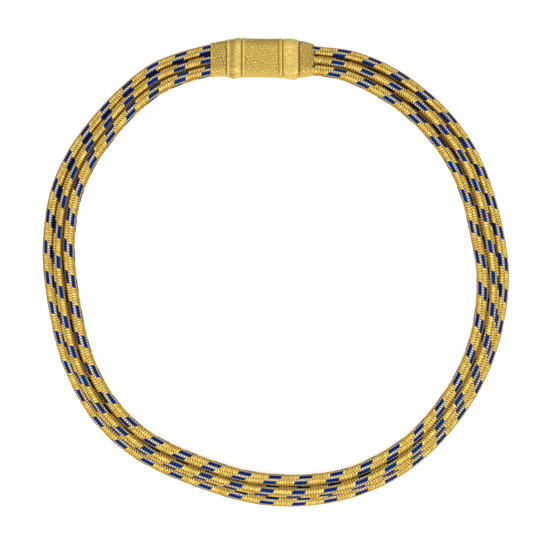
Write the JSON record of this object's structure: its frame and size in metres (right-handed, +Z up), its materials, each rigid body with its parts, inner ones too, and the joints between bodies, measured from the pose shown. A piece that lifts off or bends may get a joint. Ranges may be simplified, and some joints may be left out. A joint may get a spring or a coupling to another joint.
{
  "type": "aiguillette",
  "caption": "Nested loops of braided gold cord with blue flecks, their ends held in a gold lace sleeve with a pin under it, worn round an arm at the shoulder.",
  "frame": {"origin": "on the table under the middle of the loops", "axes": "+Z up from the table, through the loops; +Y from the middle of the loops to the sleeve; +X along the sleeve, to the right in the picture"},
  "size_m": [0.2516, 0.2543, 0.0172],
  "materials": {
    "cord_braid": "braided metallic gold thread with royal blue flecks",
    "sleeve_lace": "woven metallic gold lace",
    "band_cloth": "smooth metallic gold braid",
    "pin_brass": "polished wire"
  },
  "bodies": {
    "root": {"cord_inner": "cord_braid", "cord_middle": "cord_braid", "cord_outer": "cord_braid", "sleeve": "sleeve_lace", "centre_wrap": "sleeve_lace", "left_roll": "band_cloth", "right_band": "band_cloth", "back_pin": "pin_brass"}
  },
  "joints": []
}
